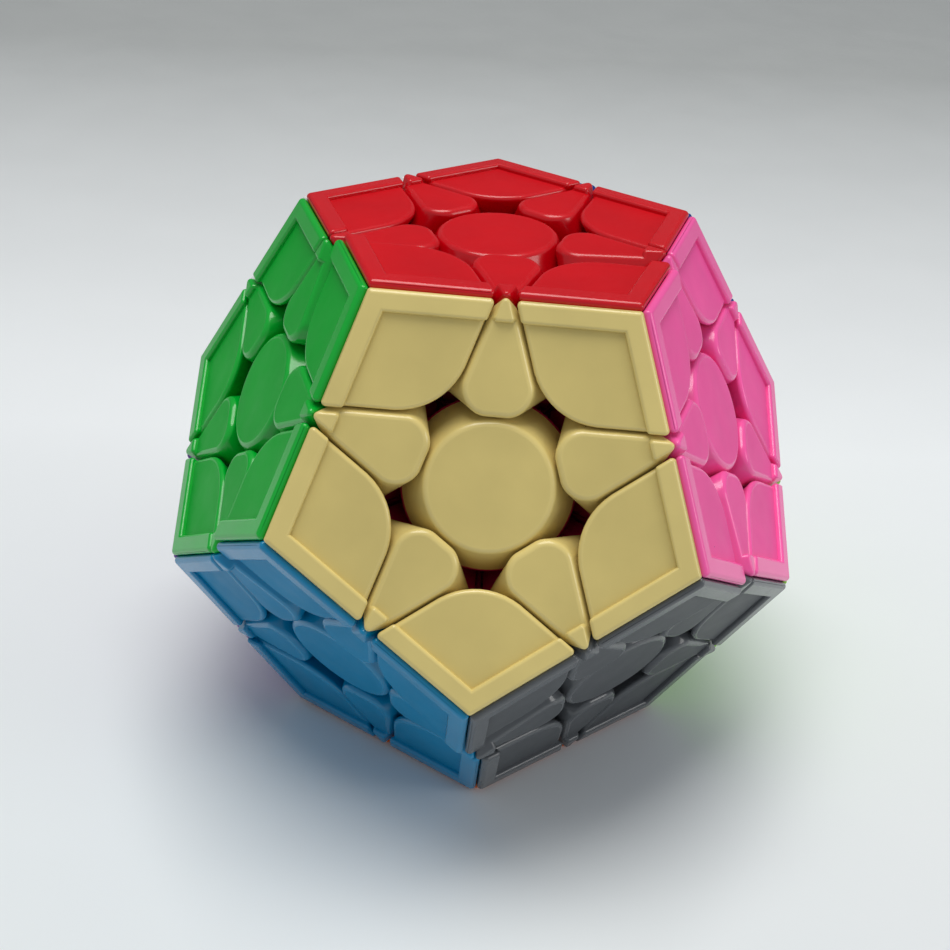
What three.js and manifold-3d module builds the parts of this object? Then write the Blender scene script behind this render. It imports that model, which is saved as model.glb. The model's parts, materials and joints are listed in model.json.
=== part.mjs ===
// A twelve-sided twisty puzzle: a regular dodecahedron cut into layers parallel to its faces.
// Millimetres. The origin is the puzzle's centre, +Z is the outward normal of the red face, and
// the puzzle stands on its orange face. -Y is the front and +X is the right.
//
// Each face has a layer: the stuff beyond a plane, with a cone under it that reaches in to the
// feet of its pieces. Every cut is a surface of revolution about a face axis, so any layer
// whose neighbours are square can turn. The pieces are what the layers share:
//   corner = three layers, edge = two layers without the two layers at its ends,
//   centre = a body of revolution on its face axis, so that it can also spin on its screw.
// Feet of corners sit under edges, feet of edges sit under centres, and the centres are
// screwed to the arms of the core with a spring under each screw head.
import * as THREE from "three";
import { mergeVertices } from "three/addons/utils/BufferGeometryUtils.js";
import Module from "manifold-3d";

const wasm = await Module();
wasm.setup();

// ---- driving dimensions, mm and degrees ----
const EDGE = 36.5; // one side of a pentagonal face
const RECESS_DEPTH = 0.8; // how far the panels lie below the raised rim
const RIM_WIDTH = 3.6; // the raised rim along the sides of a face
const CUT = 25.4; // distance of a layer's cutting plane from the centre
const GAP = 0.3; // clearance between neighbouring pieces
const CORNER_ROUND = 11; // rounding of a corner's inner tips, seen on the face
const EDGE_ROUND = 2.4; // rounding of an edge's inner tips
const NECK_ANGLE = 43; // half angle of the cone that the necks of a layer fill
const FOOT_ANGLE = 52; // half angle of the cone that its feet fill
const FOOT_TOP = 25; // radius at which necks widen into feet
const FOOT_BASE = 19.2; // how far from the centre the feet end
const CONE_MARGIN = 0.2; // the foot cone starts this much lower, and the base is cut flat
const CORNER_NECK_TOP = 38.5; // radius to which a corner's neck reaches up into its head
const EDGE_NECK_TOP = 36.2; // the same for an edge
const LAYER_TURNS = { cream: 2.4, orange: 1.3 }; // layers out of line, degrees clockwise

const CENTRE_DROP = 0.6; // how far a centre's disc lies below the panels
const CENTRE_BEVEL = 0.4; // round its disc
const CENTRE_WAIST = 32.5; // height at which a centre is widest
const SKIRT_BASE = 24.9; // underside of a centre's skirt
const STEM_RADIUS = 3.5;
const STEM_BASE = 21.3; // where a centre's stem rides on its arm of the core
const SCREW_BORE = 1.35;
const POCKET_RADIUS = 3.1; // spring pocket in a centre
const POCKET_FLOOR = 26;
const POCKET_TOP = 33.6;
const CAP_HOLLOW_RADIUS = 6.4; // hollow under the coloured cap
const CAP_HOLLOW_TOP = 38;

const CORE_RADIUS = 10.5;
const ARM_RADIUS = 3.5;
const ARM_END = 21;
const CORE_CAVITY = 3.4;
const HUB_RADIUS = 2.8; // knob where the screws meet in the core
const SCREW_RADIUS = 1;
const SPRING_RADIUS = 2.6;
const SPRING_BASE = POCKET_FLOOR + 0.3;
const SPRING_TOP = 29.8;
const WASHER_RADIUS = 2.8;
const WASHER_TOP = 30.3;
const HEAD_RADIUS = 2.2;
const HEAD_TOP = 32;

const BRIDGE_SIZE = 3; // block that joins a corner and an edge made as one piece
const BRIDGE_HEIGHT = 38; // its height along the corner's axis
const BRIDGE_SHARE = 0.45; // its place, as a share of the angle from the corner to the edge

// facets of the round surfaces; five or ten round a face axis keep every piece of a kind alike
const LAYER_FACETS = 10; // cones that a layer's own pieces fill, inscribed
const BESIDE_FACETS = 5; // cones cut out of the pieces beside a layer, circumscribed
const CENTRE_FACETS = 12;
const ARM_FACETS = 6;
const SCREW_FACETS = 6;
const ROUND_FACETS = 2; // steps along the arc of a rounded ridge
const FAR = 90; // larger than the puzzle, for cutting blocks

// ---- the dodecahedron ----
const GOLDEN = (1 + Math.sqrt(5)) / 2;
const INRADIUS = (EDGE * GOLDEN ** 2) / (2 * Math.sqrt(3 - GOLDEN)); // centre to a face
const APOTHEM = EDGE / (2 * Math.tan(Math.PI / 5)); // face centre to a side
const PANEL = INRADIUS - RECESS_DEPTH; // height of the panels
const CENTRE_TOP = PANEL - CENTRE_DROP;
const RING = Math.asin(1 / Math.sqrt(5)); // elevation of the ten slanted faces
const BETWEEN = Math.PI / 2 - RING; // angle between neighbouring face axes

const UP = new THREE.Vector3(0, 0, 1);
const rad = THREE.MathUtils.degToRad;

// azimuth 0 faces the front, and goes round to the right
function direction(azimuth, elevation) {
  const a = rad(azimuth);
  const flat = Math.cos(elevation);
  return new THREE.Vector3(Math.sin(a) * flat, -Math.cos(a) * flat, Math.sin(elevation));
}

const FACES = {
  red: { normal: UP.clone(), colour: 0xd01428 },
  cream: { normal: direction(0, RING), colour: 0xe0d28c },
  pink: { normal: direction(72, RING), colour: 0xf03c96 },
  dark_blue: { normal: direction(144, RING), colour: 0x1830a0 },
  white: { normal: direction(216, RING), colour: 0xe6e6e6 },
  green: { normal: direction(288, RING), colour: 0x109a3c },
  grey: { normal: direction(36, -RING), colour: 0x696e73 },
  lime: { normal: direction(108, -RING), colour: 0x8cd028 },
  yellow: { normal: direction(180, -RING), colour: 0xf0d214 },
  purple: { normal: direction(252, -RING), colour: 0x6a2a9a },
  light_blue: { normal: direction(324, -RING), colour: 0x2c86bc },
  orange: { normal: UP.clone().negate(), colour: 0xf07018 },
};
const NAMES = Object.keys(FACES);
const normalOf = (name) => FACES[name].normal.clone();
const touching = (a, b) => a !== b && Math.abs(normalOf(a).angleTo(normalOf(b)) - BETWEEN) < 0.01;

// ---- geometry to solid and back ----
function solid(geometry) {
  const bare = geometry.index ? geometry.toNonIndexed() : geometry.clone();
  bare.deleteAttribute("normal");
  bare.deleteAttribute("uv");
  const merged = mergeVertices(bare, 1e-4);
  const vertProperties = new Float32Array(merged.attributes.position.array);
  return new wasm.Manifold(
    new wasm.Mesh({ numProp: 3, vertProperties, triVerts: new Uint32Array(merged.index.array) }),
  );
}

function geometryOf(shape) {
  const mesh = shape.getMesh();
  const position = new THREE.BufferAttribute(new Float32Array(mesh.vertProperties), 3);
  const indexed = new THREE.BufferGeometry().setAttribute("position", position);
  indexed.setIndex(new THREE.BufferAttribute(new Uint32Array(mesh.triVerts), 1));
  const flat = indexed.toNonIndexed();
  flat.computeVertexNormals();
  return flat;
}

// ---- frames ----
// y along a face axis, x towards one of its neighbours
function axisFrame(name) {
  const y = normalOf(name);
  const neighbour = normalOf(NAMES.find((other) => touching(name, other)));
  const x = neighbour.addScaledVector(y, -neighbour.dot(y)).normalize();
  return new THREE.Matrix4().makeBasis(x, y, x.clone().cross(y));
}

// z along a face axis, y towards one of its neighbours
function faceFrame(name) {
  const z = normalOf(name);
  const neighbour = normalOf(NAMES.find((other) => touching(name, other)));
  const y = neighbour.addScaledVector(z, -neighbour.dot(z)).normalize();
  return new THREE.Matrix4().makeBasis(y.clone().cross(z), y, z);
}

// a body of revolution about y from (radius, height) points, with its first seam on the x side
const lathe = (points, facets) =>
  new THREE.LatheGeometry(points.map(([r, y]) => new THREE.Vector2(r, y)), facets, Math.PI / 2);

// everything with distance along normal of at least start
function beyond(normal, start) {
  const turn = new THREE.Quaternion().setFromUnitVectors(UP, normal);
  const block = new THREE.BoxGeometry(FAR * 2, FAR * 2, FAR);
  block.translate(0, 0, start + FAR / 2);
  return solid(block.applyQuaternion(turn));
}

const within = (normal, end) => beyond(normal.negate(), -end);

// ---- cutting solids ----
// where two lines of a profile meet, each given as a * radius + b * height = c
function crossing(lineA, lineB) {
  const [a, b, c] = lineA;
  const [d, e, f] = lineB;
  const det = a * e - b * d;
  return [(c * e - b * f) / det, (a * f - c * d) / det];
}

// the part of a layer near the centre, necks above and wider feet below, grown by an amount
function layerCone(name, growth, neckTop) {
  const neck = rad(NECK_ANGLE);
  const foot = rad(FOOT_ANGLE);
  const step = (neck + foot) / 2;
  const stepAt = FOOT_TOP * Math.cos((foot - neck) / 2);
  const neckLine = [Math.cos(neck), -Math.sin(neck), growth];
  const stepLine = [Math.sin(step), Math.cos(step), stepAt + growth];
  const footLine = [Math.cos(foot), -Math.sin(foot), growth];
  const base = (FOOT_BASE - CONE_MARGIN) * Math.cos(foot) - growth;
  const top = neckTop * Math.cos(neck);
  const profile = [
    [0, base],
    crossing(footLine, [0, 1, base]),
    crossing(footLine, stepLine),
    crossing(neckLine, stepLine),
    crossing(neckLine, [0, 1, top]),
    [neckTop * Math.sin(neck / 2), neckTop * Math.cos(neck / 2)],
    [0, neckTop],
  ];
  const facets = growth > 0 ? BESIDE_FACETS : LAYER_FACETS;
  const spread = growth > 0 ? 1 / Math.cos(Math.PI / facets) : 1;
  const points = profile.map(([radius, height]) => [radius * spread, height]);
  return solid(lathe(points, facets).applyMatrix4(axisFrame(name)));
}

// the space between two planes, inward normals a and b, with a rounded ridge where they meet
function roundedWedge(a, startA, b, startB, radius) {
  const cos = a.dot(b);
  const ridge = a.clone().multiplyScalar((startA - startB * cos) / (1 - cos * cos));
  ridge.addScaledVector(b, (startB - startA * cos) / (1 - cos * cos));
  const half = (Math.PI - a.angleTo(b)) / 2;
  const tangent = radius / Math.tan(half);
  const shape = new THREE.Shape();
  shape.moveTo(FAR * Math.cos(half), FAR * Math.sin(half));
  shape.lineTo(tangent * Math.cos(half), tangent * Math.sin(half));
  shape.absarc(radius / Math.sin(half), 0, radius, Math.PI / 2 + half, (3 * Math.PI) / 2 - half);
  shape.lineTo(FAR * Math.cos(half), -FAR * Math.sin(half));
  const x = a.clone().add(b).normalize();
  const z = a.clone().cross(b).normalize();
  const block = new THREE.ExtrudeGeometry(shape, {
    depth: 2 * FAR,
    bevelEnabled: false,
    curveSegments: ROUND_FACETS,
  });
  block.translate(0, 0, -FAR);
  const frame = new THREE.Matrix4().makeBasis(x, z.clone().cross(x), z);
  return solid(block.applyMatrix4(frame.setPosition(ridge)));
}

// what is cut out of a face to leave the raised rim
function recess(name) {
  const reach = (APOTHEM - RIM_WIDTH) / Math.cos(Math.PI / 5);
  const shape = new THREE.Shape();
  for (let i = 0; i < 5; i += 1) {
    const angle = Math.PI / 2 + ((i + 0.5) * 2 * Math.PI) / 5;
    const point = [reach * Math.cos(angle), reach * Math.sin(angle)];
    if (i === 0) shape.moveTo(...point);
    else shape.lineTo(...point);
  }
  const block = new THREE.ExtrudeGeometry(shape, { depth: 5, bevelEnabled: false });
  block.translate(0, 0, PANEL);
  return solid(block.applyMatrix4(faceFrame(name)));
}

const allOf = (solids) => solids.reduce((shape, next) => shape.intersect(next));
const allBut = (shape, solids) => solids.reduce((left, next) => left.subtract(next), shape);

// ---- the pieces ----
const INSIDE = CUT + GAP / 2; // where a layer's own pieces start
const OUTSIDE = CUT - GAP / 2; // where the pieces beside a layer end

const middle = (names) =>
  names.reduce((sum, name) => sum.add(normalOf(name)), new THREE.Vector3()).normalize();

function cornerSolid(names) {
  const pairs = [[0, 1], [1, 2], [2, 0]];
  const wedges = pairs.map(([p, q]) =>
    roundedWedge(normalOf(names[p]), INSIDE, normalOf(names[q]), INSIDE, CORNER_ROUND));
  const head = allOf([...wedges, ...names.map((name) => within(normalOf(name), INRADIUS))]);
  const foot = allOf(names.map((name) => layerCone(name, -GAP / 2, CORNER_NECK_TOP)));
  const whole = foot.intersect(beyond(middle(names), FOOT_BASE)).add(head);
  return allBut(whole, names.map(recess));
}

function edgeSolid(names) {
  const ends = NAMES.filter((other) => names.every((name) => touching(name, other)));
  const wedges = names.flatMap((name) => ends.map((end) =>
    roundedWedge(normalOf(name), INSIDE, normalOf(end).negate(), -OUTSIDE, EDGE_ROUND)));
  const head = allOf([...wedges, ...names.map((name) => within(normalOf(name), INRADIUS))]);
  const foot = allOf(names.map((name) => layerCone(name, -GAP / 2, EDGE_NECK_TOP)));
  const whole = allOf([
    foot.add(head),
    beyond(middle(names), FOOT_BASE),
    ...ends.map((end) => within(normalOf(end), OUTSIDE)),
  ]);
  const beside = ends.map((end) => layerCone(end, GAP / 2, EDGE_NECK_TOP));
  return allBut(whole, [...beside, ...names.map(recess)]);
}

// radius of a neighbouring layer's cutting plane about a face axis, at a height, less the gap
const flank = (height) => (CUT - GAP / 2 - height * Math.cos(BETWEEN)) / Math.sin(BETWEEN);
// radius of a neighbouring layer's neck cone about a face axis, less the gap
const waist = (height) => height * Math.tan(BETWEEN - rad(NECK_ANGLE)) - GAP / 2;

function centreGeometry() {
  return lathe([
    [0, CAP_HOLLOW_TOP],
    [CAP_HOLLOW_RADIUS, CAP_HOLLOW_TOP],
    [CAP_HOLLOW_RADIUS, POCKET_TOP],
    [POCKET_RADIUS, POCKET_TOP],
    [POCKET_RADIUS, POCKET_FLOOR],
    [SCREW_BORE, POCKET_FLOOR],
    [SCREW_BORE, STEM_BASE],
    [STEM_RADIUS, STEM_BASE],
    [STEM_RADIUS, SKIRT_BASE],
    [waist(SKIRT_BASE), SKIRT_BASE],
    [waist(CENTRE_WAIST), CENTRE_WAIST],
    [flank(CENTRE_TOP - CENTRE_BEVEL), CENTRE_TOP - CENTRE_BEVEL],
    [flank(CENTRE_TOP) - CENTRE_BEVEL, CENTRE_TOP],
    [0, CENTRE_TOP],
  ], CENTRE_FACETS);
}

function coreSolid() {
  let core = solid(new THREE.IcosahedronGeometry(CORE_RADIUS));
  for (const name of NAMES) {
    const arm = new THREE.CylinderGeometry(ARM_RADIUS, ARM_RADIUS, ARM_END, ARM_FACETS);
    arm.translate(0, ARM_END / 2, 0);
    core = core.add(solid(arm.applyMatrix4(axisFrame(name))));
  }
  core = core.subtract(solid(new THREE.IcosahedronGeometry(CORE_CAVITY)));
  for (const name of NAMES) {
    const bore = new THREE.CylinderGeometry(SCREW_BORE, SCREW_BORE, FAR, SCREW_FACETS);
    bore.translate(0, FAR / 2, 0);
    core = core.subtract(solid(bore.applyMatrix4(axisFrame(name))));
  }
  return core;
}

// screw, spring and washer of every face, joined by a knob in the middle of the core
function hardwareSolid() {
  let hardware = solid(new THREE.IcosahedronGeometry(HUB_RADIUS));
  for (const name of NAMES) {
    const screw = lathe([
      [0, 0],
      [SCREW_RADIUS, 0],
      [SCREW_RADIUS, SPRING_BASE],
      [SPRING_RADIUS, SPRING_BASE],
      [SPRING_RADIUS, SPRING_TOP],
      [WASHER_RADIUS, SPRING_TOP],
      [WASHER_RADIUS, WASHER_TOP],
      [HEAD_RADIUS, WASHER_TOP],
      [HEAD_RADIUS, HEAD_TOP],
      [0, HEAD_TOP],
    ], SCREW_FACETS);
    hardware = hardware.add(solid(screw.applyMatrix4(axisFrame(name))));
  }
  return hardware;
}

// ---- the assembly ----
const puzzle = new THREE.Group();
const turnedLayers = Object.entries(LAYER_TURNS).map(([name, angle]) => {
  const layer = new THREE.Group();
  layer.name = name + "_layer";
  layer.quaternion.setFromAxisAngle(normalOf(name), -rad(angle));
  puzzle.add(layer);
  return [name, layer];
});

const plastic = (colour) =>
  new THREE.MeshStandardMaterial({ color: colour, roughness: 0.35, metalness: 0 });

function place(name, geometry, material, faces) {
  const mesh = new THREE.Mesh(geometry, material);
  mesh.name = name;
  const [, home] = turnedLayers.find(([layerName]) => faces.includes(layerName)) ?? [null, puzzle];
  home.add(mesh);
  return mesh;
}

// the rotation that carries one ordered pair of face axes to another
function carry(from, to) {
  const basis = ([a, b]) => {
    const x = normalOf(a);
    const z = x.clone().cross(normalOf(b)).normalize();
    return new THREE.Matrix4().makeBasis(x, z.clone().cross(x), z);
  };
  const turn = basis(to).multiply(basis(from).transpose());
  return new THREE.Quaternion().setFromRotationMatrix(turn);
}

// the three faces at each vertex, in the same turning sense
function vertexTriples() {
  const triples = [];
  for (const [i, a] of NAMES.entries())
    for (const b of NAMES.slice(i + 1))
      for (const c of NAMES.slice(i + 1)) {
        const meet = touching(a, b) && touching(b, c) && touching(a, c);
        if (meet && normalOf(a).clone().cross(normalOf(b)).dot(normalOf(c)) > 0)
          triples.push([a, b, c]);
      }
  return triples;
}

const edgePairs = NAMES.flatMap((a, i) =>
  NAMES.slice(i + 1).filter((b) => touching(a, b)).map((b) => [a, b]));

// corner and edge pairs at the back that are made as one piece each
const JOINED = [
  ["lime", "dark_blue", "yellow", "lime_yellow"],
  ["pink", "dark_blue", "lime", "dark_blue_lime"],
  ["red", "pink", "dark_blue", "red_dark_blue"],
  ["pink", "grey", "lime", "pink_lime"],
];
const sameFaces = (a, b) => [...a].sort().join() === [...b].sort().join();

// a small block across the gap between a corner and the edge beside it
function bridge(cornerFaces, edgeFaces) {
  const corner = middle(cornerFaces);
  const edge = middle(edgeFaces);
  const x = edge.clone().addScaledVector(corner, -edge.dot(corner)).normalize();
  const block = new THREE.BoxGeometry(2 * BRIDGE_SIZE, BRIDGE_SIZE, BRIDGE_SIZE);
  block.translate(BRIDGE_HEIGHT * Math.tan(corner.angleTo(edge) * BRIDGE_SHARE), 0, BRIDGE_HEIGHT);
  const turn = new THREE.Matrix4().makeBasis(x, corner.clone().cross(x), corner);
  return solid(block.applyMatrix4(turn));
}

function build() {
  const firstCorner = vertexTriples()[0];
  const firstEdge = edgePairs[0];
  const corner = geometryOf(cornerSolid(firstCorner));
  const edge = geometryOf(edgeSolid(firstEdge));
  const centre = centreGeometry();

  for (const name of NAMES) {
    const mesh = place("centre_" + name, centre, plastic(FACES[name].colour), [name]);
    mesh.quaternion.setFromRotationMatrix(axisFrame(name));
  }
  const joinedCorners = JOINED.map((row) => row.slice(0, 3));
  for (const triple of vertexTriples()) {
    if (joinedCorners.some((faces) => sameFaces(faces, triple))) continue;
    const name = "corner_" + triple.join("_");
    const mesh = place(name, corner, plastic(FACES[triple[0]].colour), triple);
    mesh.quaternion.copy(carry(firstCorner, triple));
  }
  for (const pair of edgePairs) {
    if (JOINED.some((row) => row[3] === pair.join("_"))) continue;
    const mesh = place("edge_" + pair.join("_"), edge, plastic(FACES[pair[0]].colour), pair);
    mesh.quaternion.copy(carry(firstEdge, pair));
  }
  for (const [a, b, c, edgeName] of JOINED) {
    const pair = edgePairs.find((faces) => faces.join("_") === edgeName);
    const whole = cornerSolid([a, b, c]).add(edgeSolid(pair)).add(bridge([a, b, c], pair));
    const name = "corner_" + [a, b, c].join("_") + "_with_edge_" + edgeName;
    place(name, geometryOf(whole), plastic(FACES[a].colour), [a, b, c]);
  }
  place("core", geometryOf(coreSolid()), plastic(0x46001c), []);
  const steel = new THREE.MeshStandardMaterial({ color: 0xb4b4b8, roughness: 0.3, metalness: 1 });
  place("screws_springs_and_washers", geometryOf(hardwareSolid()), steel, []);
}

build();
export default puzzle;
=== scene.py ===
import json
import math
from itertools import combinations, product

import bmesh
import bpy
import numpy as np
from mathutils import Matrix, Vector


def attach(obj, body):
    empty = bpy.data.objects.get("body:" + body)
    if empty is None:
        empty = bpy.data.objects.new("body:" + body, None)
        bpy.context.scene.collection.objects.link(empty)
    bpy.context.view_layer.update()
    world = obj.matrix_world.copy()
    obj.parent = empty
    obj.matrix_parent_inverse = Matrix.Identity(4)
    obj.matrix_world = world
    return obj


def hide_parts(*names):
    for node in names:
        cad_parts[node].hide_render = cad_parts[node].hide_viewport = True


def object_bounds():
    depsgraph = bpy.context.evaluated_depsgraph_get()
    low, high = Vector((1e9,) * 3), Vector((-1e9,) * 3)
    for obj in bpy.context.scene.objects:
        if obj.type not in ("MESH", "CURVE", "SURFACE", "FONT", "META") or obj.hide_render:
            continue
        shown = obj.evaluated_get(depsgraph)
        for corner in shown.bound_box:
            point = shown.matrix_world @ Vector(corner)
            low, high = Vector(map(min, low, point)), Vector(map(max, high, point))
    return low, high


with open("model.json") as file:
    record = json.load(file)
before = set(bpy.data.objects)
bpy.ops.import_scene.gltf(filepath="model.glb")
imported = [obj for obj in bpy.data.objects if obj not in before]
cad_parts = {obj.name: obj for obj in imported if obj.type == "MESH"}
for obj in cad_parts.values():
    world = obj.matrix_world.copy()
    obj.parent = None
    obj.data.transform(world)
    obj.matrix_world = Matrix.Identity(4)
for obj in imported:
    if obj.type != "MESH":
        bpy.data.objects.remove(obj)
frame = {"nodes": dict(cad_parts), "record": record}
cad_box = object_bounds()

# A dodecahedron twisty puzzle: every shell, foot, cap and screw as a piece of its own.
# Shapes are worked out in millimetres and scaled to metres when a piece is placed.
MM = 0.001

# ---- the dodecahedron ----
GOLDEN = (1 + math.sqrt(5)) / 2
INRADIUS = -cad_box[0].z / MM            # centre to a face; the puzzle stands on one
EDGE = INRADIUS * 2 * math.sqrt(3 - GOLDEN) / GOLDEN**2
APOTHEM = EDGE / (2 * math.tan(math.pi / 5))
RING = math.asin(1 / math.sqrt(5))       # elevation of the ten slanted faces
BETWEEN = math.pi / 2 - RING             # angle between neighbouring face axes

# ---- cuts, as in the CAD model, mm ----
RECESS_DEPTH = 0.8
RIM_WIDTH = 3.6
CUT = 25.4
GAP = 0.3
CORNER_ROUND = 11
EDGE_ROUND = 3
EDGE_BASE_ROUND = 1                      # an edge's tips are sharper lower down
NECK_ANGLE = math.radians(43)
FOOT_ANGLE = math.radians(52)
FOOT_TOP = 25
LEDGE_ANGLE = (NECK_ANGLE + FOOT_ANGLE) / 2
LEDGE = FOOT_TOP * math.cos((FOOT_ANGLE - NECK_ANGLE) / 2)    # the step from neck to foot
FOOT_BASE = 19.2
NECK_OVERLAP = 1                         # how far a neck reaches down into its base
STALK_RISE = 2                           # how far a stalk reaches up into its neck
CORNER_NECK_TOP = 38.5
EDGE_NECK_TOP = 36.2
LAYER_TURNS = {"cream": 2.4, "orange": 1.3}    # layers out of line, degrees clockwise

PANEL = INRADIUS - RECESS_DEPTH
INSIDE = CUT + GAP / 2                   # where a layer's own pieces start
OUTSIDE = CUT - GAP / 2                  # where the pieces beside a layer end

# ---- shells ----
SHELL_DEPTH = 7.0                        # height of a coloured shell's flanks
CORNER_PANEL_ROUND = 0.6                 # rounding of a panel's outline
EDGE_PANEL_ROUND = 0.9
RIM_ROUND = 0.5
OUTER_ROUND = 0.75                       # rounding along the sides of a face
RIM_SETBACK = 0.2                        # from the gap to the end of a corner's rim
RIM_END_ROUND = 0.6                      # rounding of a rim's ends, seen on the face
TIP_ROUND = 0.7                          # the same on an edge, whose rim is short
TIP_EDGE_ROUND = 0.5
RIM_ROOT = 1.5                           # how far a rim reaches down into its panel
CLEAR = 0.02                             # keeps surfaces of joined bodies apart
SEAM = 0.05                              # from a shell to the seam with the next colour
FOOT_INSET = 0.1                         # feet are a little narrower than their shells
FOOT_ROUND = 0.3

# ---- centres, from CAD ----
CENTRE_DROP = 0.6                        # how far a disc lies below the panels
CAP_DEPTH = 6.3
CAP_ROUND = 1
CENTRE_WAIST = 32.5
SKIRT_BASE = 24.9
STEM_RADIUS = 3.5
STEM_BASE = 21.3
SCREW_BORE = 1.35
POCKET_RADIUS = 3.1
POCKET_FLOOR = 26
POCKET_TOP = 33.6
CAP_HOLLOW_RADIUS = 6.4
CAP_HOLLOW_TOP = 38
LIP = 0.03                               # how far the dark body stands proud of its cap

# ---- core and fasteners ----
CORE_RADIUS = 10.5
ARM_RADIUS = 3.5
ARM_END = 21
SCREW_RADIUS = 1
SCREW_START = 3.5
THREAD_END = 15
THREAD_PITCH = 0.7
THREAD_DEPTH = 0.2
HEAD_RADIUS = 2.2
HEAD_TOP = 32
WASHER_RADIUS = 2.8
WASHER_BASE = 29.8
WASHER_TOP = 30.3
SPRING_RADIUS = 2.6
SPRING_BASE = 26.3
SPRING_TOP = 29.8
WIRE_RADIUS = 0.28
SPRING_TURNS = 4.5

# ---- fineness ----
BEND = math.radians(15)                  # turn per strip of a rounded edge
SWEEP = math.radians(6)                  # turn per strip of an outline's round stretch
LATHE_STEPS = 96
CREASE = math.radians(30)                # sharper edges than this keep a crease
LEVEL = math.radians(0.3)                # faces closer in direction than this become one
CONE_SPAN, CONE_STEP = 70, 10            # planes round a cone: how far round, and how often
LID_SPAN, LID_STEP = 60, 15
ARM_STEPS = 48
SMALL_STEPS = 32                         # round screws and bores
WIRE_STEPS, WIRE_SIDES = 28, 10          # per turn of a spring, and round its wire
HUB = 0.5                                # radius of the flat middle of a turned end
SAME_SPOT = 0.001                        # points closer than this are one
SEAM_WELD = 0.004                        # the same after the pieces are joined
SLIVER = 0.002                           # shorter edges than this go
SAME_HEIGHT = 0.02                       # a face nearer than this to a height is at it
FACES_ALONG = 0.9999                     # cosine above which a face looks along an axis

# ---- view and light, in metres ----
CAMERA_AZIMUTH = -1.15                   # degrees
CAMERA_ELEVATION = 30.66
CAMERA_ROLL = 3.11
CAMERA_DISTANCE = 0.2179
CAMERA_LENS = 51.92                      # mm, on a sensor 36 mm wide
CAMERA_SHIFT = (-0.01074, -0.0095)
OVERHEAD_SPOT = (-0.04, 0.05, 1.2)
OVERHEAD_SIZE = (0.9, 0.7)
OVERHEAD_POWER = 10.8
RIGHT_SPOT = (1.25, -0.4, 0.5)
RIGHT_SIZE = (0.5, 0.5)
RIGHT_POWER = 2.9
SKY_COLOUR = (0.86, 0.92, 1, 1)
SKY_STRENGTH = 0.38
FLOOR_HALF_WIDTH = 12
FLOOR_FRONT = -12
FLOOR_BACK = 2.4                         # where the table starts to curve up
FLOOR_BEND = 1.2                         # radius of that curve
FLOOR_BEND_STEPS = 24
FLOOR_TOP = 4                            # height of the backdrop

# ---- moulded plastic, in waves or cells to a metre ----
CLOUD_WAVES = 90                         # of colour
SHEEN_WAVES = 210                        # of roughness
SPECK_CELLS = 260                        # with at most one speck in each
SPECK_WAVES = 140                        # specks are only where these run high
RELIEF = 0.35                            # strength of the grain


# ---- camera ----
def add_camera():
    azimuth = math.radians(CAMERA_AZIMUTH)
    elevation = math.radians(CAMERA_ELEVATION)
    roll = math.radians(CAMERA_ROLL)
    back = Vector((
        math.sin(azimuth) * math.cos(elevation),
        -math.cos(azimuth) * math.cos(elevation),
        math.sin(elevation),
    ))
    level = Vector((math.cos(azimuth), math.sin(azimuth), 0))
    upright = back.cross(level)
    right = level * math.cos(roll) + upright * math.sin(roll)
    up = upright * math.cos(roll) - level * math.sin(roll)
    data = bpy.data.cameras.new("camera")
    data.sensor_width = 36
    data.lens = CAMERA_LENS
    data.shift_x, data.shift_y = CAMERA_SHIFT
    data.clip_start = 0.01
    data.clip_end = 20
    camera = bpy.data.objects.new("camera", data)
    turn = Matrix((right, up, back)).transposed().to_4x4()
    camera.matrix_world = Matrix.Translation(back * CAMERA_DISTANCE) @ turn
    bpy.context.scene.collection.objects.link(camera)
    bpy.context.scene.camera = camera


add_camera()


# ---- face axes ----
def direction(azimuth, elevation):
    """A unit vector; the azimuth is in degrees from the front, the elevation in radians."""
    a = math.radians(azimuth)
    flat = math.cos(elevation)
    return np.array([math.sin(a) * flat, -math.cos(a) * flat, math.sin(elevation)])


AXES = {
    "red": np.array([0.0, 0.0, 1.0]),
    "cream": direction(0, RING),
    "pink": direction(72, RING),
    "dark_blue": direction(144, RING),
    "white": direction(216, RING),
    "green": direction(288, RING),
    "grey": direction(36, -RING),
    "lime": direction(108, -RING),
    "yellow": direction(180, -RING),
    "purple": direction(252, -RING),
    "light_blue": direction(324, -RING),
    "orange": np.array([0.0, 0.0, -1.0]),
}
NAMES = list(AXES)


def unit(v):
    return v / np.linalg.norm(v)


def touching(a, b):
    """Whether two faces share a side."""
    return a != b and AXES[a] @ AXES[b] > 0


def middle(names):
    return unit(sum(AXES[name] for name in names))


def across(a, b):
    """The direction within face a, from its centre to the side that it shares with b."""
    return unit(AXES[b] - (AXES[b] @ AXES[a]) * AXES[a])


def corner_triples():
    """The three faces at each vertex, in the same turning sense."""
    return [
        (a, b, c)
        for i, a in enumerate(NAMES)
        for b in NAMES[i + 1:]
        for c in NAMES[i + 1:]
        if touching(a, b) and touching(b, c) and touching(a, c)
        and np.cross(AXES[a], AXES[b]) @ AXES[c] > 0
    ]


def edge_pairs():
    return [(a, b) for a, b in combinations(NAMES, 2) if touching(a, b)]


def ends_of(a, b):
    """The two faces at the ends of the side that two faces share."""
    return [name for name in NAMES if touching(a, name) and touching(b, name)]


# ---- convex bodies from planes ----
# A plane is (outward normal, distance from the centre), in mm.
def slerp(a, b, share):
    """The unit vector part of the way from one to another."""
    angle = math.acos(max(-1, min(1, a @ b)))
    return (math.sin((1 - share) * angle) * a + math.sin(share * angle) * b) / math.sin(angle)


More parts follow.
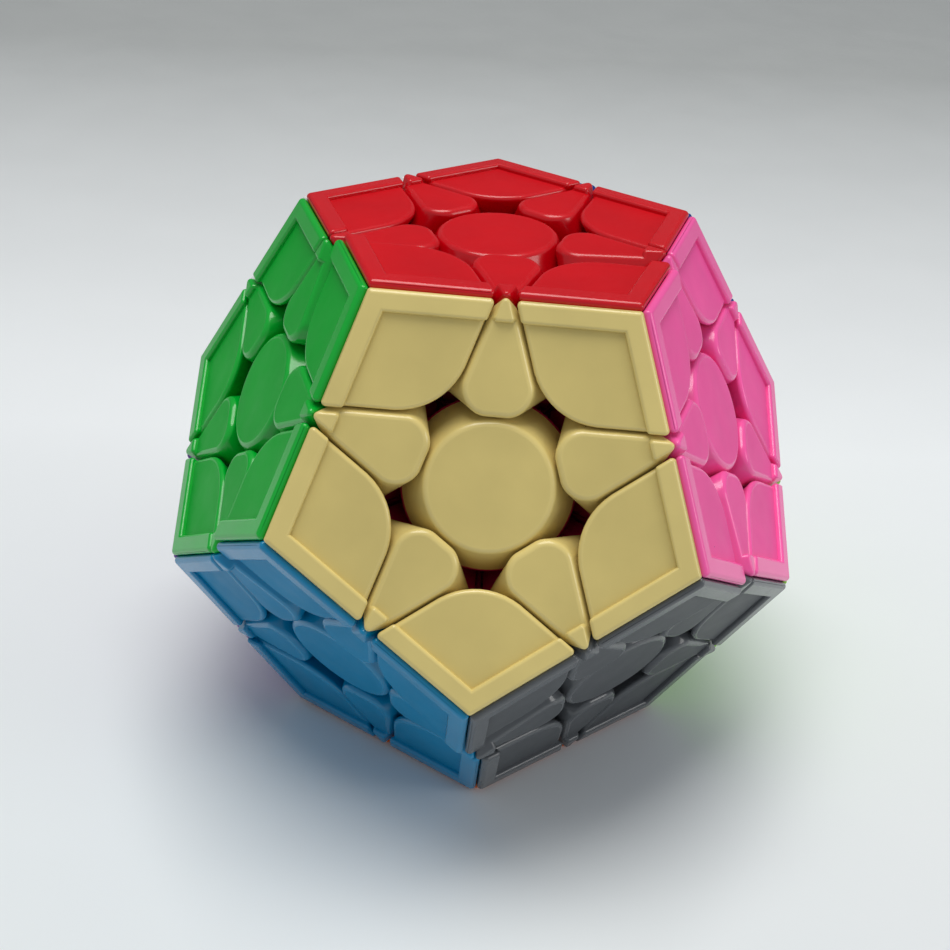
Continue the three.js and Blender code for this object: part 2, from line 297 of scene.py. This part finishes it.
def round_ridge(first, last, radius):
    """Two planes with the planes that round the ridge between them."""
    (m, d), (n, e) = first, last
    axis = np.linalg.lstsq(np.array([m, n]), np.array([d - radius, e - radius]), rcond=None)[0]
    steps = math.ceil(math.acos(m @ n) / SWEEP)
    normals = [slerp(m, n, i / steps) for i in range(steps + 1)]
    return [(normal, normal @ axis + radius) for normal in normals]


def fan(trio):
    """Unit vectors all over the spherical triangle of three."""
    spots = list(trio)
    widest = 1
    for a, b in combinations(trio, 2):
        steps = math.ceil(math.acos(max(-1, min(1, a @ b))) / BEND)
        widest = max(widest, steps)
        spots += [slerp(a, b, i / steps) for i in range(1, steps)]
    for i in range(1, widest):
        for j in range(1, widest - i):
            spots.append(unit(i * trio[0] + j * trio[1] + (widest - i - j) * trio[2]))
    return spots


def skin(planes, radius):
    """Points on the body inside the planes, with its edges and corners rounded."""
    normals = np.array([normal for normal, _ in planes])
    starts = np.array([start for _, start in planes]) - radius
    trios = np.array(list(combinations(range(len(planes)), 3)))
    trios = trios[abs(np.linalg.det(normals[trios])) > 1e-3]    # not nearly parallel
    corners = np.linalg.solve(normals[trios], starts[trios][..., None])[..., 0]
    real = (corners @ normals.T - starts).max(axis=1) < 1e-6    # within every plane
    return [
        corner + radius * spot
        for corner, trio in zip(corners[real], trios[real])
        for spot in fan(normals[trio])
    ]


def hull(spots):
    """The smallest convex body round the points."""
    body = bmesh.new()
    for spot in spots:
        body.verts.new(spot)
    bmesh.ops.remove_doubles(body, verts=body.verts, dist=SAME_SPOT)
    made = bmesh.ops.convex_hull(body, input=body.verts)
    spare = [part for part in made["geom_unused"] + made["geom_interior"]
             if isinstance(part, bmesh.types.BMVert)]
    bmesh.ops.delete(body, geom=list(set(spare)), context="VERTS")
    bmesh.ops.dissolve_limit(body, angle_limit=LEVEL, verts=body.verts, edges=body.edges)
    return to_mesh(body)


def rounded(planes, radius):
    return hull(skin(planes, radius))


def to_mesh(body):
    mesh = bpy.data.meshes.new("shape")
    bmesh.ops.recalc_face_normals(body, faces=body.faces)
    body.to_mesh(mesh)
    body.free()
    return mesh


def applied(mesh, kind, **settings):
    """The mesh that a modifier makes of this one, which it takes the place of."""
    piece = bpy.data.objects.new("shape", mesh)
    bpy.context.scene.collection.objects.link(piece)
    modifier = piece.modifiers.new("change", kind)
    for name, value in settings.items():
        setattr(modifier, name, value)
    graph = bpy.context.evaluated_depsgraph_get()
    made = bpy.data.meshes.new_from_object(
        piece.evaluated_get(graph), preserve_all_data_layers=True, depsgraph=graph
    )
    bpy.data.objects.remove(piece)
    bpy.data.meshes.remove(mesh)
    return made


def combined(mesh, other, operation):
    tool = bpy.data.objects.new("tool", other)
    bpy.context.scene.collection.objects.link(tool)
    made = applied(mesh, "BOOLEAN", object=tool, operation=operation, solver="MANIFOLD")
    bpy.data.objects.remove(tool)
    bpy.data.meshes.remove(other)
    return made


def joined(meshes):
    whole = meshes[0]
    for mesh in meshes[1:]:
        whole = combined(whole, mesh, "UNION")
    return whole


def cut_flat(mesh, normal, start):
    """Takes away what lies beyond a plane and closes the cut."""
    body = bmesh.new()
    body.from_mesh(mesh)
    parts = [*body.verts, *body.edges, *body.faces]
    made = bmesh.ops.bisect_plane(
        body, geom=parts, plane_co=normal * start, plane_no=normal, clear_outer=True
    )
    rim = [part for part in made["geom_cut"] if isinstance(part, bmesh.types.BMEdge)]
    bmesh.ops.contextual_create(body, geom=rim)
    bpy.data.meshes.remove(mesh)
    return to_mesh(body)


def smoothed(mesh):
    """Millimetres to metres, with smooth shading that keeps flat faces flat."""
    mesh.materials.clear()
    body = bmesh.new()
    body.from_mesh(mesh)
    for face in body.faces:
        face.material_index = 0
    bmesh.ops.remove_doubles(body, verts=body.verts, dist=SEAM_WELD)
    bmesh.ops.dissolve_degenerate(body, edges=body.edges, dist=SLIVER)
    body.to_mesh(mesh)
    body.free()
    mesh.transform(Matrix.Scale(MM, 4))
    mesh.shade_smooth()
    mesh.set_sharp_from_angle(angle=CREASE)
    return applied(mesh, "WEIGHTED_NORMAL", keep_sharp=True, weight=80)


def frost(mesh, normal, height=PANEL):
    """Gives the flat part at this height the second material."""
    up = Vector(normal)
    for face in mesh.polygons:
        at_height = abs(face.center @ up - height * MM) < SAME_HEIGHT * MM
        face.material_index = int(at_height and face.normal @ up > FACES_ALONG)
    return mesh


# ---- shells and feet ----
def mitre(a, b, inset=0.0):
    """The plane between two faces, through their shared side."""
    return (unit(AXES[b] - AXES[a]), -inset)


def rim_wall(a, b):
    """The inner side of the rim of face a that runs along face b."""
    return (-across(a, b), -(APOTHEM - RIM_WIDTH))


def corner_shell(a, b, c):
    """A corner's shell on face a: a sunk panel with a rim along two sides."""
    depth = PANEL - SHELL_DEPTH - 2 * CORNER_PANEL_ROUND
    panel = rounded([
        (AXES[a], PANEL),
        (-AXES[a], -depth),
        mitre(a, b, SEAM + CLEAR),
        mitre(a, c, SEAM + CLEAR),
        *round_ridge((-AXES[b], -INSIDE), (-AXES[c], -INSIDE), CORNER_ROUND),
    ], CORNER_PANEL_ROUND)
    bars = [panel]
    for side, far in ((b, c), (c, b)):
        end = (-AXES[far], -INSIDE - RIM_SETBACK)
        bars.append(rounded(distinct([
            (-AXES[a], -(PANEL - RIM_ROOT)),
            *round_ridge((AXES[a], INRADIUS), mitre(a, far, SEAM), OUTER_ROUND),
            *round_ridge((AXES[a], INRADIUS), mitre(a, side, SEAM), OUTER_ROUND),
            *round_ridge(end, mitre(a, side, SEAM), RIM_END_ROUND),
            *round_ridge(end, rim_wall(a, side), RIM_END_ROUND),
        ]), RIM_ROUND))
    shell = cut_flat(joined(bars), -AXES[a], -(PANEL - SHELL_DEPTH))
    return frost(smoothed(shell), AXES[a])


def edge_shell(a, b):
    """An edge's shell on face a: a petal whose flanks get less round lower down."""
    slab = 2 * EDGE_PANEL_ROUND
    depth = PANEL - SHELL_DEPTH - slab
    top = [(AXES[a], PANEL), (-AXES[a], -(PANEL - slab))]
    base = [(AXES[a], depth + slab), (-AXES[a], -depth)]
    inner = (-AXES[b], -INSIDE)
    spots = []
    for ridge_round, level in ((EDGE_ROUND, top), (EDGE_BASE_ROUND, base)):
        sides = [plane for end in ends_of(a, b)
                 for plane in round_ridge(inner, (AXES[end], OUTSIDE), ridge_round)]
        walls = [*level, mitre(a, b, SEAM + CLEAR), *distinct(sides)]
        spots += skin(walls, EDGE_PANEL_ROUND)
    panel = hull(spots)
    walls = [(AXES[a], INRADIUS), (-AXES[a], -(PANEL - RIM_ROOT))]
    for end in ends_of(a, b):
        side = (AXES[end], OUTSIDE - CLEAR)
        walls += [rim_wall(a, b), *round_ridge(mitre(a, b, SEAM), side, TIP_ROUND)]
    bar = rounded(distinct(walls), TIP_EDGE_ROUND)
    shell = cut_flat(joined([panel, bar]), -AXES[a], -(PANEL - SHELL_DEPTH))
    return frost(smoothed(shell), AXES[a])


def distinct(planes):
    """The planes without repeats."""
    kept = []
    for normal, start in planes:
        if not any(normal @ other > 1 - 1e-9 for other, _ in kept):
            kept.append((normal, start))
    return kept


def outward(axis, towards, span=0, step=1):
    """Directions square to an axis, on both sides of the one towards a piece."""
    near = unit(towards - (towards @ axis) * axis)
    side = np.cross(axis, near)
    turns = [math.radians(turn) for turn in range(-span, span + 1, step)]
    return [near * math.cos(turn) + side * math.sin(turn) for turn in turns]


def cone(axis, towards, half_angle, growth):
    """Planes round the near side of a cone about a face axis."""
    return [
        (out * math.cos(half_angle) - axis * math.sin(half_angle), growth)
        for out in outward(axis, towards, CONE_SPAN, CONE_STEP)
    ]


def lid(axis, towards):
    """Planes over the top of a foot, square to the step from neck to foot."""
    return [
        (out * math.sin(LEDGE_ANGLE) + axis * math.cos(LEDGE_ANGLE), LEDGE - GAP / 2)
        for out in outward(axis, towards, LID_SPAN, LID_STEP)
    ]


def foot(own, ends, ridge_round, neck_top):
    """The dark inner part that holds a corner's or an edge's shells.

    A head fills the shells, a neck runs down inside the cones of its own layers, and a base
    widens below the ledge. An edge also keeps clear of the layers at its ends, where its neck
    stops short of the ledge, so a stalk joins neck and base.
    """
    towards = middle(own)
    sides = [(-AXES[name], -INSIDE - FOOT_INSET) for name in own]
    outer = [(AXES[name], OUTSIDE - FOOT_INSET) for name in ends]
    ridges = product(sides, outer) if ends else combinations(sides, 2)
    head = [(AXES[name], PANEL - SHELL_DEPTH - CLEAR) for name in own]
    for first, last in ridges:
        head += round_ridge(first, last, ridge_round)
    below_ledge = (-towards, -(FOOT_TOP - NECK_OVERLAP))
    neck = [(towards, neck_top), below_ledge, *outer]
    stalk = [(towards, FOOT_TOP + STALK_RISE), below_ledge]
    base = [(-towards, -FOOT_BASE)]
    for name in own:
        axis = AXES[name]
        neck += cone(axis, towards, NECK_ANGLE, -GAP / 2)
        stalk += cone(axis, towards, NECK_ANGLE, -GAP)
        base += cone(axis, towards, FOOT_ANGLE, -GAP / 2)
        base += lid(axis, towards)
    for name in ends:
        axis = AXES[name]
        near, = outward(axis, towards)
        ledge = axis * math.cos(LEDGE_ANGLE) + near * math.sin(LEDGE_ANGLE)
        neck.append((-ledge, -(LEDGE + GAP / 2)))
        for planes, angle, start in (
            (neck, NECK_ANGLE, -GAP / 2),
            (stalk, FOOT_ANGLE, -GAP),
            (base, FOOT_ANGLE, -GAP / 2),
        ):
            planes.append((axis * math.sin(angle) - near * math.cos(angle), start))
    levels = (head, neck, stalk, base) if ends else (head, neck, base)
    return smoothed(joined([rounded(distinct(planes), FOOT_ROUND) for planes in levels]))


# ---- round parts, made about Z ----
def eased(points):
    """A profile of (radius, height, rounding) with its corners rounded."""
    outline = []
    for i, (r, h, rounding) in enumerate(points):
        here = np.array([r, h], float)
        if not rounding:
            outline.append(here)
            continue
        before = unit(np.array(points[i - 1][:2], float) - here)
        after = unit(np.array(points[(i + 1) % len(points)][:2], float) - here)
        half = math.acos(before @ after) / 2
        reach = rounding / math.tan(half)
        start, end = here + before * reach, here + after * reach
        centre = here + unit(before + after) * rounding / math.sin(half)
        steps = math.ceil((math.pi - 2 * half) / BEND)
        for step in range(steps + 1):
            outline.append(centre + rounding * slerp(
                unit(start - centre), unit(end - centre), step / steps))
    return outline


def turned(points, closed=False, steps=LATHE_STEPS):
    """A body of revolution; an open profile gets flat ends."""
    outline = eased(points)
    body = bmesh.new()
    rings = []
    for r, h in outline:
        angles = [2 * math.pi * i / steps for i in range(steps)]
        rings.append([body.verts.new((r * math.cos(t), r * math.sin(t), h)) for t in angles])
    pairs = list(zip(rings, rings[1:] + rings[:1] if closed else rings[1:]))
    for lower, upper in pairs:
        for i in range(steps):
            j = (i + 1) % steps
            body.faces.new((lower[i], lower[j], upper[j], upper[i]))
    if not closed:
        body.faces.new(rings[0])
        body.faces.new(rings[-1])
    return to_mesh(body)


def flank(height):
    """Radius of a centre's flank at a height."""
    return (OUTSIDE - height * math.cos(BETWEEN)) / math.sin(BETWEEN)


def waist(height):
    """Radius of a centre's underside, beside the necks of its neighbours."""
    return height * math.tan(BETWEEN - NECK_ANGLE) - GAP / 2


def centre_cap():
    top = PANEL - CENTRE_DROP
    base = top - CAP_DEPTH
    cap = smoothed(turned([
        (HUB, top, 0),
        (flank(top) - LIP, top, CAP_ROUND),
        (flank(base) - LIP, base, 0),
        (CAP_HOLLOW_RADIUS, base, 0),
        (CAP_HOLLOW_RADIUS, CAP_HOLLOW_TOP, 0.5),
        (HUB, CAP_HOLLOW_TOP, 0),
    ]))
    return frost(cap, (0, 0, 1), top)


def centre_body():
    top = PANEL - CENTRE_DROP - CAP_DEPTH - CLEAR
    return smoothed(turned([
        (CAP_HOLLOW_RADIUS, top, 0.1),
        (flank(top), top, 0.1),
        (flank(CENTRE_WAIST), CENTRE_WAIST, 0.2),
        (waist(SKIRT_BASE), SKIRT_BASE, 0.3),
        (STEM_RADIUS, SKIRT_BASE, 0.4),
        (STEM_RADIUS, STEM_BASE, 0.2),
        (SCREW_BORE, STEM_BASE, 0.1),
        (SCREW_BORE, POCKET_FLOOR, 0),
        (POCKET_RADIUS, POCKET_FLOOR, 0),
        (POCKET_RADIUS, POCKET_TOP - 1, 0),
        (CAP_HOLLOW_RADIUS, POCKET_TOP - 1, 0.2),
    ], closed=True))


def core():
    """A ball with an arm to each face, bored for the screws."""
    body = bmesh.new()
    bmesh.ops.create_icosphere(body, subdivisions=5, radius=CORE_RADIUS)
    whole = to_mesh(body)
    for name in NAMES:
        arm = turned([
            (SCREW_BORE, SCREW_START, 0),
            (ARM_RADIUS, SCREW_START, 0),
            (ARM_RADIUS, ARM_END, 0.4),
            (SCREW_BORE, ARM_END, 0),
        ], steps=ARM_STEPS)
        arm.transform(turn_to(name))
        whole = combined(whole, arm, "UNION")
    for name in NAMES:
        ends = [(SCREW_BORE, SCREW_START - 1, 0), (SCREW_BORE, ARM_END + 1, 0)]
        bore = turned(ends, steps=SMALL_STEPS)
        bore.transform(turn_to(name))
        whole = combined(whole, bore, "DIFFERENCE")
    return smoothed(whole)


def cross_cutter():
    """A cross with narrowing arms, for the recess of a screw head."""
    body = bmesh.new()
    length, half_width = 1.3, 0.28
    above, below = (HEAD_TOP + 0.5, 1.15), (HEAD_TOP - 1.1, 0.6)    # height and scale
    outline = [(length, half_width), (half_width, half_width), (half_width, length)]
    rings = []
    for height, scale in (above, below):
        ring = []
        for quarter in range(4):
            turn = Matrix.Rotation(quarter * math.pi / 2, 3, "Z")
            for x, y in outline:
                spot = turn @ Vector((x * scale, y * scale, 0))
                ring.append(body.verts.new(spot + Vector((0, 0, height))))
        rings.append(ring)
    upper, lower = rings
    for i in range(len(upper)):
        j = (i + 1) % len(upper)
        body.faces.new((upper[i], upper[j], lower[j], lower[i]))
    body.faces.new(upper)
    body.faces.new(lower)
    return to_mesh(body)


def screw():
    """A screw with a ridge for each turn of its thread and a cross in its head."""
    profile = [(SCREW_RADIUS * 0.6, SCREW_START, 0)]
    turns = int((THREAD_END - SCREW_START) / THREAD_PITCH)
    flank_height = THREAD_PITCH * 0.35
    for i in range(turns):
        height = SCREW_START + (i + 0.5) * THREAD_PITCH
        profile += [
            (SCREW_RADIUS - THREAD_DEPTH, height - flank_height, 0),
            (SCREW_RADIUS, height, 0),
            (SCREW_RADIUS - THREAD_DEPTH, height + flank_height, 0),
        ]
    profile += [
        (SCREW_RADIUS, THREAD_END + 0.3, 0),
        (SCREW_RADIUS, WASHER_TOP, 0),
        (HEAD_RADIUS, WASHER_TOP, 0.15),
        (HEAD_RADIUS, HEAD_TOP, 0.8),
        (HUB, HEAD_TOP, 0),
    ]
    blank = turned(profile, steps=SMALL_STEPS)
    return smoothed(combined(blank, cross_cutter(), "DIFFERENCE"))


def washer():
    return smoothed(turned([
        (SCREW_BORE, WASHER_BASE + CLEAR, 0.08),
        (WASHER_RADIUS, WASHER_BASE + CLEAR, 0.15),
        (WASHER_RADIUS, WASHER_TOP - CLEAR, 0.15),
        (SCREW_BORE, WASHER_TOP - CLEAR, 0.08),
    ], closed=True, steps=ARM_STEPS))


def spring():
    """A coil of round wire whose end turns lie flat."""
    body = bmesh.new()
    coil = SPRING_RADIUS - WIRE_RADIUS
    low = SPRING_BASE + WIRE_RADIUS
    travel = SPRING_TOP - SPRING_BASE - 2 * WIRE_RADIUS
    flat = 0.12                          # share of the wire that lies flat at each end
    count = int(SPRING_TURNS * WIRE_STEPS)
    up = Vector((0, 0, 1))
    rings = []
    for i in range(count + 1):
        share = i / count
        angle = share * SPRING_TURNS * 2 * math.pi
        rise = min(1, max(0, (share - flat) / (1 - 2 * flat)))
        out = Vector((math.cos(angle), math.sin(angle), 0))
        centre = out * coil + up * (low + travel * rise)
        ring = []
        for j in range(WIRE_SIDES):
            t = 2 * math.pi * j / WIRE_SIDES
            spot = centre + (out * math.cos(t) + up * math.sin(t)) * WIRE_RADIUS
            ring.append(body.verts.new(spot))
        rings.append(ring)
    for first, last in zip(rings, rings[1:]):
        for j in range(WIRE_SIDES):
            k = (j + 1) % WIRE_SIDES
            body.faces.new((first[j], first[k], last[k], last[j]))
    body.faces.new(rings[0])
    body.faces.new(rings[-1])
    return smoothed(to_mesh(body))


# ---- materials ----
def noise(tree, scale, detail):
    """Noise over the piece itself, with about this many waves to a metre."""
    position = tree.nodes.new("ShaderNodeTexCoord")
    texture = tree.nodes.new("ShaderNodeTexNoise")
    texture.inputs["Scale"].default_value = scale
    texture.inputs["Detail"].default_value = detail
    tree.links.new(position.outputs["Object"], texture.inputs["Vector"])
    return texture.outputs["Fac"]


def ranged(tree, value, low, high, start=0.3, end=0.7):
    """Goes from low to high while the value goes from start to end."""
    node = tree.nodes.new("ShaderNodeMapRange")
    node.inputs["From Min"].default_value = start
    node.inputs["From Max"].default_value = end
    node.inputs["To Min"].default_value = low
    node.inputs["To Max"].default_value = high
    tree.links.new(value, node.inputs["Value"])
    return node.outputs["Result"]


def mixed(tree, share, first, last):
    """A blend of two colours, each of which is three numbers or another node's output."""
    node = tree.nodes.new("ShaderNodeMix")
    node.data_type = "RGBA"
    tree.links.new(share, node.inputs["Factor"])
    for socket, value in ((node.inputs["A"], first), (node.inputs["B"], last)):
        if isinstance(value, bpy.types.NodeSocket):
            tree.links.new(value, socket)
        else:
            socket.default_value = (*value, 1)
    return node.outputs["Result"]


def specks(tree):
    """1 in sparse tiny spots of dust, 0 elsewhere."""
    position = tree.nodes.new("ShaderNodeTexCoord")
    cells = tree.nodes.new("ShaderNodeTexVoronoi")
    cells.inputs["Scale"].default_value = SPECK_CELLS
    tree.links.new(position.outputs["Object"], cells.inputs["Vector"])
    near = ranged(tree, cells.outputs["Distance"], 1, 0, 0.02, 0.03)
    few = ranged(tree, noise(tree, SPECK_WAVES, 0), 0, 1, 0.66, 0.68)
    both = tree.nodes.new("ShaderNodeMath")
    both.operation = "MULTIPLY"
    tree.links.new(near, both.inputs[0])
    tree.links.new(few, both.inputs[1])
    return both.outputs[0]


def bumped(tree, height, strength, distance):
    """Normals for relief of this depth in metres."""
    node = tree.nodes.new("ShaderNodeBump")
    node.inputs["Strength"].default_value = strength
    node.inputs["Distance"].default_value = distance
    tree.links.new(height, node.inputs["Height"])
    return node.outputs["Normal"]


def shaded(colour, amount):
    return tuple(min(1, channel * amount) for channel in colour)


def moulded(name, colour, rough, sheen, grain, grain_depth):
    """Moulded plastic: cloudy colour, uneven sheen, a fine grain and a few specks."""
    material = bpy.data.materials.new(name)
    material.use_nodes = True
    tree = material.node_tree
    shader = tree.nodes["Principled BSDF"]
    shader.inputs["IOR"].default_value = 1.53
    shader.inputs["Specular IOR Level"].default_value = sheen
    cloud = ranged(tree, noise(tree, CLOUD_WAVES, 3), 0, 1)
    base = mixed(tree, cloud, shaded(colour, 0.93), shaded(colour, 1.05))
    dusty = mixed(tree, specks(tree), base, shaded(colour, 0.35))
    tree.links.new(dusty, shader.inputs["Base Color"])
    uneven = ranged(tree, noise(tree, SHEEN_WAVES, 4), rough - 0.05, rough + 0.06)
    tree.links.new(uneven, shader.inputs["Roughness"])
    relief = bumped(tree, noise(tree, grain, 2), RELIEF, grain_depth)
    tree.links.new(relief, shader.inputs["Normal"])
    return material


def metal(name):
    """Zinc-plated steel with a cloudy tone, uneven roughness and a fine grain."""
    material = bpy.data.materials.new(name)
    material.use_nodes = True
    tree = material.node_tree
    shader = tree.nodes["Principled BSDF"]
    shader.inputs["Metallic"].default_value = 1
    cloud = ranged(tree, noise(tree, 400, 3), 0, 1)
    tint = mixed(tree, cloud, (0.5, 0.5, 0.5), (0.66, 0.65, 0.62))
    tree.links.new(tint, shader.inputs["Base Color"])
    tree.links.new(ranged(tree, noise(tree, 900, 3), 0.25, 0.42), shader.inputs["Roughness"])
    tree.links.new(bumped(tree, noise(tree, 5000, 1), 0.3, 0.00002), shader.inputs["Normal"])
    return material


def linear(red, green, blue):
    """A colour given as it shows on a screen, 0 to 255, for a shader."""
    return tuple(
        value / 255 / 12.92 if value < 10.3 else ((value / 255 + 0.055) / 1.055) ** 2.4
        for value in (red, green, blue)
    )


COLOURS = {
    "red": linear(208, 0, 18),
    "cream": linear(226, 204, 128),
    "pink": linear(255, 95, 170),
    "dark_blue": linear(16, 44, 128),
    "white": linear(232, 232, 232),
    "green": linear(0, 176, 50),
    "grey": linear(91, 94, 97),
    "lime": linear(140, 208, 40),
    "yellow": linear(244, 212, 20),
    "purple": linear(106, 42, 154),
    "light_blue": linear(0, 132, 180),
    "orange": linear(240, 112, 24),
}
GLOSS = {"rough": 0.2, "sheen": 0.5, "grain": 2200, "grain_depth": 0.000004}
FROST = {"rough": 0.5, "sheen": 0.2, "grain": 4200, "grain_depth": 0.00002}
INNER = {"rough": 0.38, "sheen": 0.3, "grain": 2600, "grain_depth": 0.000006}
GLOSSY = {name: moulded(f"{name}_plastic", colour, **GLOSS) for name, colour in COLOURS.items()}
FROSTED = {name: moulded(f"{name}_frosted", shaded(colour, 0.92), **FROST)
           for name, colour in COLOURS.items()}
DARK = moulded("dark_plum_plastic", linear(190, 16, 76), **INNER)
STEEL = metal("zinc_steel")


# ---- placing ----
def turn_to(name):
    """The rotation that takes Z to a face axis and X towards one of its neighbours."""
    z = AXES[name]
    x = across(name, next(other for other in NAMES if touching(name, other)))
    return Matrix(np.column_stack([x, np.cross(z, x), z])).to_4x4()


def carry(start, end):
    """The rotation that carries one ordered pair of face axes to another."""
    frames = []
    for a, b in (start, end):
        z = unit(np.cross(AXES[a], AXES[b]))
        frames.append(np.column_stack([AXES[a], np.cross(z, AXES[a]), z]))
    return Matrix(frames[1] @ frames[0].T).to_4x4()


BODY_OF = {
    node: body
    for body, nodes in frame["record"]["behaviour"]["bodies"].items()
    for node in nodes
}
TURNED = {name: Matrix.Rotation(-math.radians(angle), 4, Vector(AXES[name]))
          for name, angle in LAYER_TURNS.items()}


def place(name, shape, turn, faces, materials, node):
    """A piece with its own copy of a shape, turned into place, riding with its CAD node."""
    mesh = shape.copy()
    mesh.name = name
    out_of_line = next((TURNED[face] for face in faces if face in TURNED), Matrix.Identity(4))
    mesh.transform(out_of_line @ turn)
    for material in materials:
        mesh.materials.append(material)
    piece = bpy.data.objects.new(name, mesh)
    bpy.context.scene.collection.objects.link(piece)
    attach(piece, BODY_OF[node])
    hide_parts(node)


def both_finishes(colour):
    return [GLOSSY[colour], FROSTED[colour]]


def corner_node(colours):
    """The CAD node that holds a corner, with or without the edge beside it."""
    for node in frame["nodes"]:
        head = node.split("_with_edge_")[0]
        if head.startswith("corner_") and all(colour in head for colour in colours):
            return node
    raise ValueError(f"no node for {colours}")


def add_corners():
    triples = corner_triples()
    first = triples[0]
    shell = corner_shell(*first)
    inner = foot(first, [], CORNER_ROUND, CORNER_NECK_TOP)
    for a, b, c in triples:
        node = corner_node((a, b, c))
        label = f"corner_{a}_{b}_{c}"
        for own, following in ((a, b), (b, c), (c, a)):
            turn = carry(first[:2], (own, following))
            place(f"{label}_shell_{own}", shell, turn, (a, b, c), both_finishes(own), node)
        turn = carry(first[:2], (a, b))
        place(f"{label}_foot", inner, turn, (a, b, c), [DARK], node)


def add_edges():
    pairs = edge_pairs()
    first = pairs[0]
    shell = edge_shell(*first)
    inner = foot(first, ends_of(*first), EDGE_ROUND, EDGE_NECK_TOP)
    for a, b in pairs:
        label = f"edge_{a}_{b}"
        node = next(node for node in frame["nodes"] if node.endswith(label))
        for own, other in ((a, b), (b, a)):
            turn = carry(first, (own, other))
            place(f"{label}_shell_{own}", shell, turn, (a, b), both_finishes(own), node)
        place(f"{label}_foot", inner, carry(first, (a, b)), (a, b), [DARK], node)


def add_centres():
    cap, body = centre_cap(), centre_body()
    fasteners = {"screw": screw(), "washer": washer(), "spring": spring()}
    for name in NAMES:
        node = f"centre_{name}"
        turn = turn_to(name)
        place(f"{node}_cap", cap, turn, (name,), both_finishes(name), node)
        place(f"{node}_body", body, turn, (name,), [DARK], node)
        for kind, shape in fasteners.items():
            place(f"{kind}_{name}", shape, turn, (), [STEEL],
                  "screws_springs_and_washers")


add_corners()
add_edges()
add_centres()
place("core_with_arms", core(), Matrix.Identity(4), (), [DARK], "core")


# ---- floor and light ----
def add_floor():
    """A pale table that curves up into a backdrop."""
    level = cad_box[0].z
    body = bmesh.new()
    profile = [(FLOOR_FRONT, 0)]
    for i in range(FLOOR_BEND_STEPS + 1):
        t = i / FLOOR_BEND_STEPS * math.pi / 2
        rise = FLOOR_BEND - FLOOR_BEND * math.cos(t)
        profile.append((FLOOR_BACK + FLOOR_BEND * math.sin(t), rise))
    profile.append((FLOOR_BACK + FLOOR_BEND, FLOOR_TOP))
    sides = (-FLOOR_HALF_WIDTH, FLOOR_HALF_WIDTH)
    rows = [[body.verts.new((x, y, level + z)) for x in sides] for y, z in profile]
    for first, last in zip(rows, rows[1:]):
        body.faces.new((first[0], first[1], last[1], last[0]))
    mesh = to_mesh(body)
    mesh.shade_smooth()
    floor = bpy.data.objects.new("floor", mesh)
    bpy.context.scene.collection.objects.link(floor)
    mesh.materials.append(table_material())


def table_material():
    """Pale, with painted light: a painted pool of light makes it lightest just behind the
    puzzle, and painted shade makes it greyer far behind it.
    """
    material = bpy.data.materials.new("pale_table_painted_light")
    material.use_nodes = True
    tree = material.node_tree
    shader = tree.nodes["Principled BSDF"]
    cloud = ranged(tree, noise(tree, 6, 2), 0, 1)
    front = mixed(tree, cloud, (0.76, 0.79, 0.80), (0.79, 0.82, 0.82))
    position = tree.nodes.new("ShaderNodeTexCoord")
    apart = tree.nodes.new("ShaderNodeSeparateXYZ")
    tree.links.new(position.outputs["Object"], apart.inputs["Vector"])
    depth = apart.outputs["Y"]
    # painted pool of light: the floor turns lighter from y -0.1 m to 0.08 m
    painted_pool_of_light = mixed(tree, ranged(tree, depth, 0, 1, -0.1, 0.08), front, (0.92, 0.94, 0.95))
    # painted shade: darker again from y 0.08 m to 0.42 m, standing in for the fall-off of the
    # lamps
    tint = mixed(tree, ranged(tree, depth, 0, 1, 0.08, 0.42), painted_pool_of_light, (0.48, 0.49, 0.48))
    tree.links.new(tint, shader.inputs["Base Color"])
    tree.links.new(ranged(tree, noise(tree, 40, 3), 0.3, 0.4), shader.inputs["Roughness"])
    return material


def add_light(name, spot, size, power, colour):
    """A rectangular lamp that faces the puzzle."""
    data = bpy.data.lights.new(name, "AREA")
    data.shape = "RECTANGLE"
    data.size, data.size_y = size
    data.energy = power
    data.color = colour
    light = bpy.data.objects.new(name, data)
    light.location = spot
    light.rotation_euler = (-Vector(spot)).to_track_quat("-Z", "Y").to_euler()
    bpy.context.scene.collection.objects.link(light)


def add_world():
    world = bpy.data.worlds.new("studio")
    world.use_nodes = True
    back = world.node_tree.nodes["Background"]
    back.inputs["Color"].default_value = SKY_COLOUR
    back.inputs["Strength"].default_value = SKY_STRENGTH
    bpy.context.scene.world = world


add_floor()
add_world()
add_light("overhead", OVERHEAD_SPOT, OVERHEAD_SIZE, OVERHEAD_POWER, (1, 0.99, 0.96))
add_light("right", RIGHT_SPOT, RIGHT_SIZE, RIGHT_POWER, (1, 0.99, 0.97))
bpy.context.scene.view_settings.view_transform = "Standard"
